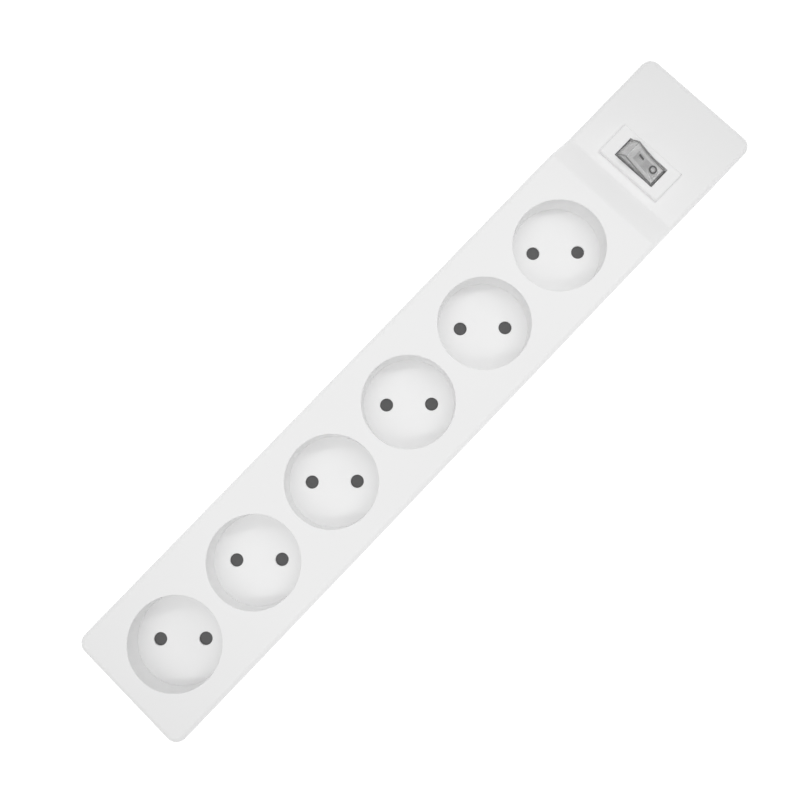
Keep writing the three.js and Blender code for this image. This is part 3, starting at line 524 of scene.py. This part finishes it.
def inner_section(depth, foot):
    """(y, z) points round the rocker at a depth under its skin, open end down at the foot."""
    radius = ROCKER_RADIUS - depth
    low, end = math.acos(foot / radius), math.acos((TIP_Z - depth - 0.03) / radius)
    turns = [low + (end - low) * i / 10 for i in range(11)]
    side = [(radius * math.sin(t), radius * math.cos(t)) for t in turns]
    reach = side[-1][0] - 0.03
    top = [(reach * (1 - i / 8), face_z(reach * (1 - i / 8)) - depth) for i in range(17)]
    return [*side, *top, *((-y, z) for y, z in reversed(side))]


RIBS_NEAR, RIBS_FAR, RIB_STEP = 5.2, -7.2, 13.2 / 36
RIB_CREST, RIB_VALLEY, RIB_FLOOR = 0.01, 0.1, 0.13
RIBS_X, POCKET_X, POCKET_DEPTH = (-2.2, 2.1), (-2.3, 2.2), 0.14


def build_core():
    """The pale liner under the lens, and the ribbed panel on top of it."""
    low, high = -(ROCKER_HALF - LINER_DEPTH), ROCKER_HALF - 1.35
    core = prism("rocker_core", inner_section(LINER_DEPTH, 0.2), low, high)
    hollow = inner_section(LENS_SKIN + 0.5, -0.5)
    room = prism("room", hollow, low + LINER_WALL, high - LINER_WALL)
    near, far = RIBS_NEAR + 0.1, RIBS_FAR - 0.1
    deep = -POCKET_DEPTH
    corners = ((near, 0.5), (near, deep), (-1.0, deep), (far, deep), (far, 0.5))
    section = [(y, face_z(y) - LENS_SKIN + lift) for y, lift in corners]
    combine(core, "DIFFERENCE", room, prism("pocket", section, *POCKET_X))
    ribs = []
    y, count = RIBS_NEAR, 0
    while y > RIBS_FAR:
        y = max(RIBS_NEAR - RIB_STEP * count, RIBS_FAR)
        ribs.append((y, face_z(y) - LENS_SKIN - (RIB_VALLEY if count % 2 else RIB_CREST)))
        count += 1
    floor = [(y, face_z(y) - LENS_SKIN - RIB_FLOOR) for y, _ in ribs]
    panel = prism("rocker_ribs", [*ribs, *reversed(floor)], *RIBS_X)
    return rocker_place(soften(core)), rocker_place(soften(panel))


def build_rocker():
    """The see-through skin, with the pivot pins, the bridge between them and the plunger's tube."""
    end = []
    for i in range(15):
        angle = FOOT_ANGLE + (TIP_ANGLE - FOOT_ANGLE) * i / 14
        end.append((ROCKER_RADIUS * math.sin(angle), ROCKER_RADIUS * math.cos(angle)))
    face = [(TIP_Y * (1 - i / 12), face_z(TIP_Y * (1 - i / 12))) for i in range(1, 24)]
    section = [*end, *face, *((-y, z) for y, z in reversed(end))]
    rings = [[(x, y, z) for y, z in section] for x in (-ROCKER_HALF, ROCKER_HALF)]
    lens = loft("rocker_lens", rings)
    bevel = lens.modifiers.new("bevel", "BEVEL")
    bevel.width = LENS_BEVEL * MM
    bevel.segments = 3
    bevel.limit_method = "ANGLE"
    bevel.angle_limit = math.radians(35)
    combine(lens, "DIFFERENCE")  # with no tools, this only applies the bevel
    inside = ROCKER_HALF - LENS_SKIN
    room = prism("room", inner_section(LENS_SKIN, -4), -inside, inside)
    combine(lens, "DIFFERENCE", room)
    pins = lathe("pins", [(1.5, -6.3), (1.5, 6.3)], (0, 0, 0), 48, "X")
    clear = box("clear", (-3.5, -3, -3), (3.5, 3, 3))
    bridge = box("bridge", (-3.6, -1.2, -1.5), (3.6, 1.2, 1.2))
    tube = lathe("tube", [(2.5, -4.5), (2.5, 1.2)], (0, 0, 0), 48)
    combine(lens, "UNION", combine(pins, "DIFFERENCE", clear), bridge, tube)
    combine(lens, "DIFFERENCE", lathe("bore", [(1.6, -5), (1.6, 0.4)], (0, 0, 0), 32))
    return rocker_place(soften(lens, 28))


INK_LIFT = 0.05
MARK_SHIFT = 0.7
BAR_HALF, BAR_FOOT, BAR_STEP = 0.4, 1.4, 0.35
RING_Y, RING_OUTER, RING_INNER, RING_STEPS = -4.4, 1.75, 1.08, 48


def printed(name, rows):
    """A thin printed mark on the rocker's face. Each row has the same number of (x, y) points."""
    count = len(rows[0])
    lifts = (-INK_LIFT, INK_LIFT)
    corners = [(x, y, face_z(y) + lift) for lift in lifts for row in rows for x, y in row]
    layer = len(rows) * count
    faces = []
    for k in range(len(rows) - 1):
        for i in range(count - 1):
            a, b = k * count + i, (k + 1) * count + i
            faces.append((a, b, b + 1, a + 1))
            faces.append((layer + a, layer + a + 1, layer + b + 1, layer + b))
    for k in range(len(rows) - 1):
        for i in (0, count - 1):
            a, b = k * count + i, (k + 1) * count + i
            faces.append((a, b, layer + b, layer + a))
    for row in (0, len(rows) - 1):
        for i in range(count - 1):
            a = row * count + i
            faces.append((a, a + 1, layer + a + 1, layer + a))
    return rocker_place(soften(solid(name, corners, faces)))


def build_marks():
    """The bar and the ring that are printed on the rocker."""
    bar_ys = [BAR_FOOT + BAR_STEP * i for i in range(9)]
    bar = [[(MARK_SHIFT - BAR_HALF, y), (MARK_SHIFT + BAR_HALF, y)] for y in bar_ys]
    around = (
        (RING_OUTER, -INK_LIFT),
        (RING_OUTER, INK_LIFT),
        (RING_INNER, INK_LIFT),
        (RING_INNER, -INK_LIFT),
    )
    corners, faces = [], []
    for i in range(RING_STEPS):
        turn = 2 * math.pi * i / RING_STEPS
        for radius, lift in around:
            x, y = MARK_SHIFT + radius * math.cos(turn), RING_Y + radius * math.sin(turn)
            corners.append((x, y, face_z(y) + lift))
    for i in range(RING_STEPS):
        j = (i + 1) % RING_STEPS
        for k in range(4):
            m = (k + 1) % 4
            faces.append((4 * i + k, 4 * j + k, 4 * j + m, 4 * i + m))
    ring = rocker_place(soften(solid("mark_O", corners, faces)))
    return printed("mark_I", bar), ring


# ---- small hardware -----------------------------------------------------------------------------


SCREW_HEAD, SCREW_TIP, THREAD_PITCH = 2.2, 1.4, 0.7
THREAD_ROOT, THREAD_CREST = 1.18, 1.48


def build_screw(index):
    """A base screw with a domed head and a cross recess, in place of its CAD node."""
    low, high = cad(f"base_screw_{index}")
    seat = low.z + SCREW_HEAD
    head = [(1.6, low.z), (2.5, low.z + 0.25), (2.95, low.z + 0.7), (3.1, low.z + 1.3)]
    shank = [(3.1, seat - 0.1), (3.0, seat), (1.5, seat)]
    thread = []
    z = seat + 1
    while z < high.z - SCREW_TIP - 0.8:
        crest = (THREAD_CREST, z + THREAD_PITCH / 2)
        thread += [(THREAD_ROOT, z), crest, (THREAD_ROOT, z + THREAD_PITCH)]
        z += THREAD_PITCH
    tip = [(1.1, high.z - SCREW_TIP), (0.25, high.z)]
    centre = ((low.x + high.x) / 2, (low.y + high.y) / 2, 0)
    profile = [*head, *shank, (1.5, seat + 0.8), *thread, *tip]
    screw = lathe(f"screw_{index}", profile, centre, 48)
    x, y = centre[:2]
    arms = []
    for half_x, half_y in ((1.65, 0.36), (0.36, 1.65)):
        low_ring = rounded_rectangle(half_x, half_y, 0.15, low.z - 1, (x, y), 2)
        high_ring = rounded_rectangle(half_x * 0.55, half_y * 0.8, 0.1, low.z + 1.5, (x, y), 2)
        arms.append(loft("arm", [low_ring, high_ring]))
    combine(screw, "DIFFERENCE", *arms)
    return soften(screw, 40)


def build_bush():
    """The ring in the cord inlet: a sleeve with a flange inside and round edges outside."""
    low, high = cad("inlet_bush")
    bore, wall, flange, edge = 3.7, 4.6, 5.9, BUSH_EDGE
    flange_low, flange_high = low.x + 1.7, low.x + 3.55
    centre = (0, 0, INLET_Z)
    arc = rounding(edge, 4)
    sleeve = [(wall, low.x), (wall, flange_low)]
    collar = [(flange, flange_low), (flange, flange_high), (wall, flange_high)]
    outer = [(wall - edge + a, high.x - edge + u) for a, u in arc]
    inner = [(bore + edge - a, high.x - edge + u) for a, u in arc]
    body = lathe("inlet_ring", [*sleeve, *collar, *outer], centre, 64, "X")
    hole_profile = [(bore, low.x - CLEAR), *inner, (bore + edge, high.x + CLEAR)]
    hole = lathe("hole", hole_profile, centre, 64, "X")
    return soften(combine(body, "DIFFERENCE", hole))


# ---- materials ----------------------------------------------------------------------------------


# Painted shade towards the strip's two ends: where it begins and where it is full, as distance along x in
# metres, and how it curves.
END_SHADE_FROM, END_SHADE_TO, END_SHADE_POWER = 0.095, 0.172, 1.2


def shade_ends(nodes, links, colour, amount):
    """Darkens a colour softly towards the two ends of the strip, as the photo's light does."""
    place = nodes.new("ShaderNodeTexCoord")
    parts = nodes.new("ShaderNodeSeparateXYZ")
    links.new(place.outputs["Object"], parts.inputs["Vector"])
    reach = nodes.new("ShaderNodeMath")
    reach.operation = "ABSOLUTE"
    links.new(parts.outputs["X"], reach.inputs[0])
    share = nodes.new("ShaderNodeMapRange")
    share.inputs["From Min"].default_value = END_SHADE_FROM
    share.inputs["From Max"].default_value = END_SHADE_TO
    links.new(reach.outputs["Value"], share.inputs["Value"])
    curve = nodes.new("ShaderNodeMath")
    curve.operation = "POWER"
    curve.inputs[1].default_value = END_SHADE_POWER
    links.new(share.outputs["Result"], curve.inputs[0])
    # The painted shade: the colour multiplied towards black by the share.
    end_shade_mix = nodes.new("ShaderNodeMix")
    end_shade_mix.data_type = "RGBA"
    end_shade_mix.blend_type = "MULTIPLY"
    scaled = nodes.new("ShaderNodeMath")
    scaled.operation = "MULTIPLY"
    scaled.inputs[1].default_value = amount
    links.new(curve.outputs["Value"], scaled.inputs[0])
    links.new(scaled.outputs["Value"], end_shade_mix.inputs["Factor"])
    links.new(colour, end_shade_mix.inputs["A"])
    end_shade_mix.inputs["B"].default_value = (0, 0, 0, 1)
    return end_shade_mix.outputs["Result"]


def material(
    name, color, roughness, metallic=0.0, grain=900, bump=0.02, patches=0.02, ends=0.0, **inputs
):
    """A procedural finish: soft patches in the colour, fine grain in the roughness and the surface; with
    ends set, painted shade darkens the colour towards the strip's two ends.
    """
    made = bpy.data.materials.new(name)
    made.use_nodes = True
    nodes, links = made.node_tree.nodes, made.node_tree.links
    shader = nodes["Principled BSDF"]
    shader.inputs["Metallic"].default_value = metallic
    for key, value in inputs.items():
        shader.inputs[key.replace("_", " ")].default_value = value
    place = nodes.new("ShaderNodeTexCoord")
    broad = nodes.new("ShaderNodeTexNoise")
    broad.inputs["Scale"].default_value = 28
    broad.inputs["Detail"].default_value = 2
    fine = nodes.new("ShaderNodeTexNoise")
    fine.inputs["Scale"].default_value = grain
    fine.inputs["Detail"].default_value = 3
    links.new(place.outputs["Object"], broad.inputs["Vector"])
    links.new(place.outputs["Object"], fine.inputs["Vector"])
    tint = nodes.new("ShaderNodeMix")
    tint.data_type = "RGBA"
    tint.inputs["A"].default_value = (*[c * (1 - patches) for c in color], 1)
    tint.inputs["B"].default_value = (*[min(c * (1 + patches), 1) for c in color], 1)
    links.new(broad.outputs["Fac"], tint.inputs["Factor"])
    colour = tint.outputs["Result"]
    if ends:
        colour = shade_ends(nodes, links, colour, ends)
    links.new(colour, shader.inputs["Base Color"])
    rough = nodes.new("ShaderNodeMapRange")
    rough.inputs["To Min"].default_value = max(roughness - 0.05, 0.02)
    rough.inputs["To Max"].default_value = roughness + 0.05
    links.new(fine.outputs["Fac"], rough.inputs["Value"])
    links.new(rough.outputs["Result"], shader.inputs["Roughness"])
    raised = nodes.new("ShaderNodeBump")
    raised.inputs["Strength"].default_value = bump
    raised.inputs["Distance"].default_value = 0.0002
    links.new(fine.outputs["Fac"], raised.inputs["Height"])
    links.new(raised.outputs["Normal"], shader.inputs["Normal"])
    return made


# Both white mouldings carry painted shade, up to 6.5% darker towards the strip's two ends.
WHITE = material("white_moulding", (0.97, 0.97, 0.97), 0.5, patches=0.004, ends=0.065)
FLOOR = material("floor_moulding", (0.925, 0.925, 0.925), 0.5, patches=0.004, ends=0.065)
COVER = material("cover_moulding", (0.88, 0.88, 0.875), 0.55, patches=0.008)
BEZEL = material("bezel_moulding", (0.95, 0.95, 0.95), 0.5, patches=0.004)
# A darker grey for the faces of the walls inside the switch.
CHAMBER = material("chamber_darker_grey", (0.8, 0.8, 0.8), 0.5, patches=0.03)
CLEAR_PLASTIC = {"Transmission_Weight": 0.8, "IOR": 1.45}
SMOKY = material(
    "smoky_lens", (0.965, 0.965, 0.965), 0.16, bump=0.01, patches=0.01, **CLEAR_PLASTIC
)
CORE = material("pale_core", (0.93, 0.93, 0.93), 0.4, patches=0.03)
RIBS = material("ribbed_panel", (0.48, 0.48, 0.48), 0.35, patches=0.03)
SHUTTER = material("shutter_grey", (0.085, 0.085, 0.086), 0.5, patches=0.06)
INK = material("dark_print", (0.1, 0.1, 0.1), 0.5, patches=0.1)
BLACK = material("black_nylon", (0.035, 0.035, 0.037), 0.55, patches=0.1)
GREY = material("grey_nylon", (0.35, 0.35, 0.34), 0.5, patches=0.05)
STEEL = material("zinc_steel", (0.62, 0.62, 0.63), 0.32, 1.0, 500, 0.08, 0.06)
BRASS = material("stamped_brass", (0.72, 0.55, 0.27), 0.3, 1.0, 600, 0.06, 0.06)
BRONZE = material("spring_bronze", (0.68, 0.42, 0.26), 0.3, 1.0, 600, 0.06, 0.06)
SILVER = material("silver_face", (0.85, 0.84, 0.82), 0.25, 1.0, 700, 0.05, 0.04)
GLASS = material("lamp_glass", (0.85, 0.78, 0.72), 0.06, patches=0.05, Transmission_Weight=0.8)
CERAMIC = material("resistor_body", (0.62, 0.5, 0.32), 0.5, patches=0.08)
BROWN = material("brown_insulation", (0.12, 0.05, 0.025), 0.45, patches=0.08)
BLUE = material("blue_insulation", (0.03, 0.1, 0.38), 0.45, patches=0.08)

CAD_FINISH = {
    BRASS: ("line_busbar", "neutral_busbar", "switch_input_terminal", "switch_output_terminal"),
    BRONZE: ("line_contact_", "neutral_contact_", "contact_lever"),
    SILVER: ("moving_contact", "fixed_contact"),
    STEEL: ("clamp_screw_", "terminal_screw_", "plunger_spring"),
    BLACK: ("plunger",),
    GLASS: ("neon_lamp",),
    CERAMIC: ("lamp_resistor",),
    COVER: ("cord_clamp_bar",),
    GREY: ("terminal_block",),
    SHUTTER: ("shutter_",),
    BROWN: ("feed_wire", "switched_wire"),
    BLUE: ("neutral_wire", "lamp_wire"),
}


def cad_finish(node):
    if node in ("lamp_terminal", "line_sleeve", "neutral_sleeve"):
        return BRASS
    matches = [(len(p), m) for m, stems in CAD_FINISH.items() for p in stems if node.startswith(p)]
    return max(matches, key=lambda match: match[0])[1]


def dress(obj, made, body, slot, *nodes):
    """Gives a piece its finish, the body it rides on and the CAD nodes it replaces. The slot argument is
    not used.
    """
    obj.data.materials.clear()
    obj.data.materials.append(made)
    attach(obj, body)
    if nodes:
        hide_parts(*nodes)
    return obj


# ---- assembly -----------------------------------------------------------------------------------

dress(build_housing(), WHITE, "housing", "white_housing", "top_housing")
dress(build_carrier(), FLOOR, "housing", "white_housing", "contact_carrier")
dress(build_cover(), COVER, "housing", "base_plastic", "base_tray")
darken_chamber_walls(dress(build_switch_case(), BEZEL, "housing", "bezel_plastic", "switch_body"), CHAMBER)
dress(build_bush(), BLACK, "housing", "black_plastic", "inlet_bush")
for number in range(1, 7):
    dress(build_screw(number), STEEL, "housing", "steel", f"base_screw_{number}")
dress(build_rocker(), SMOKY, "rocker", "smoky_rocker", "rocker")
for piece, made in zip(build_core(), (CORE, RIBS)):
    dress(piece, made, "rocker", "smoky_rocker")
for mark in build_marks():
    dress(mark, INK, "rocker", "black_plastic")

for node, obj in frame["nodes"].items():
    if not obj.hide_render:
        obj.data.materials.clear()
        obj.data.materials.append(cad_finish(node))


# ---- table, light and camera --------------------------------------------------------------------

# The photo's upward and rightward directions on the table, and the middle of the row of sockets.
PHOTO_UP = Vector((0.7196, 0.6944, 0))
PHOTO_RIGHT = Vector((0.6944, -0.7196, 0))
SOCKET_ROW = Vector((-30.65, 0, DECK_Z))
TABLE_HALF, TABLE_DROP, TABLE_GLOW = 12, 0.0001, 1.2
LIGHT_LONG, LIGHT_WIDE, LIGHT_TILT = 0.60, 0.028, math.radians(10)
CAMERA_AT, CAMERA_AIM, FOCAL_LENGTH = (-25.48, -29.11, 375.22), (-9.95, 2.95, 36.0), 37.64


def build_table():
    """A table that runs out of sight, lit a little from within so that it stays white."""
    mesh = bpy.data.meshes.new("table")
    half = TABLE_HALF
    mesh.from_pydata(
        [(-half, -half, 0), (half, -half, 0), (half, half, 0), (-half, half, 0)], [], [(0, 1, 2, 3)]
    )
    table = bpy.data.objects.new("table", mesh)
    bpy.context.scene.collection.objects.link(table)
    table.location.z = -TABLE_DROP
    made = material("table_white", (0.12, 0.12, 0.12), 0.9, patches=0.01)
    shader = made.node_tree.nodes["Principled BSDF"]
    shader.inputs["Emission Color"].default_value = (1, 1, 1, 1)
    shader.inputs["Emission Strength"].default_value = TABLE_GLOW
    mesh.materials.append(made)


def soft_light(name, offset, shift, height, power):
    """A long narrow light across the photo, aimed at the sockets."""
    data = bpy.data.lights.new(name, "AREA")
    data.shape = "RECTANGLE"
    data.size = LIGHT_LONG
    data.size_y = LIGHT_WIDE
    data.energy = power
    light = bpy.data.objects.new(name, data)
    bpy.context.scene.collection.objects.link(light)
    along = PHOTO_RIGHT * math.cos(LIGHT_TILT) + PHOTO_UP * math.sin(LIGHT_TILT)
    place = (SOCKET_ROW + PHOTO_UP * offset + along * shift + Vector((0, 0, height))) * MM
    back = (place - SOCKET_ROW * MM).normalized()
    side = (along - back * along.dot(back)).normalized()
    other = back.cross(side)
    turn = Matrix((side, other, back)).transposed().to_4x4()
    light.matrix_world = Matrix.Translation(place) @ turn
    light.visible_camera = False


WORLD_FROM, WORLD_TO = (0.36, 0.96), (0.36, 0.83)
WORLD_LEAN = 0.07


def build_world():
    """A white studio, brighter overhead than low down and a little brighter towards the head."""
    world = bpy.data.worlds.new("studio")
    world.use_nodes = True
    nodes, links = world.node_tree.nodes, world.node_tree.links
    ground = nodes["Background"]
    ground.inputs["Color"].default_value = (1, 1, 1, 1)
    place = nodes.new("ShaderNodeTexCoord")
    parts = nodes.new("ShaderNodeSeparateXYZ")
    links.new(place.outputs["Generated"], parts.inputs["Vector"])
    level = nodes.new("ShaderNodeMapRange")
    level.interpolation_type = "SMOOTHSTEP"
    for key, (least, most) in (("From", WORLD_FROM), ("To", WORLD_TO)):
        level.inputs[f"{key} Min"].default_value = least
        level.inputs[f"{key} Max"].default_value = most
    links.new(parts.outputs["Z"], level.inputs["Value"])
    lean = nodes.new("ShaderNodeMath")
    lean.operation = "MULTIPLY_ADD"
    lean.inputs[1].default_value = WORLD_LEAN
    links.new(parts.outputs["X"], lean.inputs[0])
    links.new(level.outputs["Result"], lean.inputs[2])
    links.new(lean.outputs["Value"], ground.inputs["Strength"])
    bpy.context.scene.world = world


def build_camera():
    """The camera at the photo's angle, as solved from the pin holes and the socket rims."""
    data = bpy.data.cameras.new("camera")
    data.lens = FOCAL_LENGTH
    data.clip_start = 0.01
    camera = bpy.data.objects.new("camera", data)
    bpy.context.scene.collection.objects.link(camera)
    place = Vector(CAMERA_AT) * MM
    aim = Vector(CAMERA_AIM) * MM
    forward = (aim - place).normalized()
    right = forward.cross(PHOTO_UP).normalized()
    up = right.cross(forward)
    turn = Matrix((right, up, -forward)).transposed().to_4x4()
    camera.matrix_world = Matrix.Translation(place) @ turn
    bpy.context.scene.camera = camera


build_table()
soft_light("far_light", 137, 60, 295, 0.255)
soft_light("near_light", -152, -100, 305, 0.245)
build_world()
build_camera()
bpy.context.scene.view_settings.view_transform = "Standard"
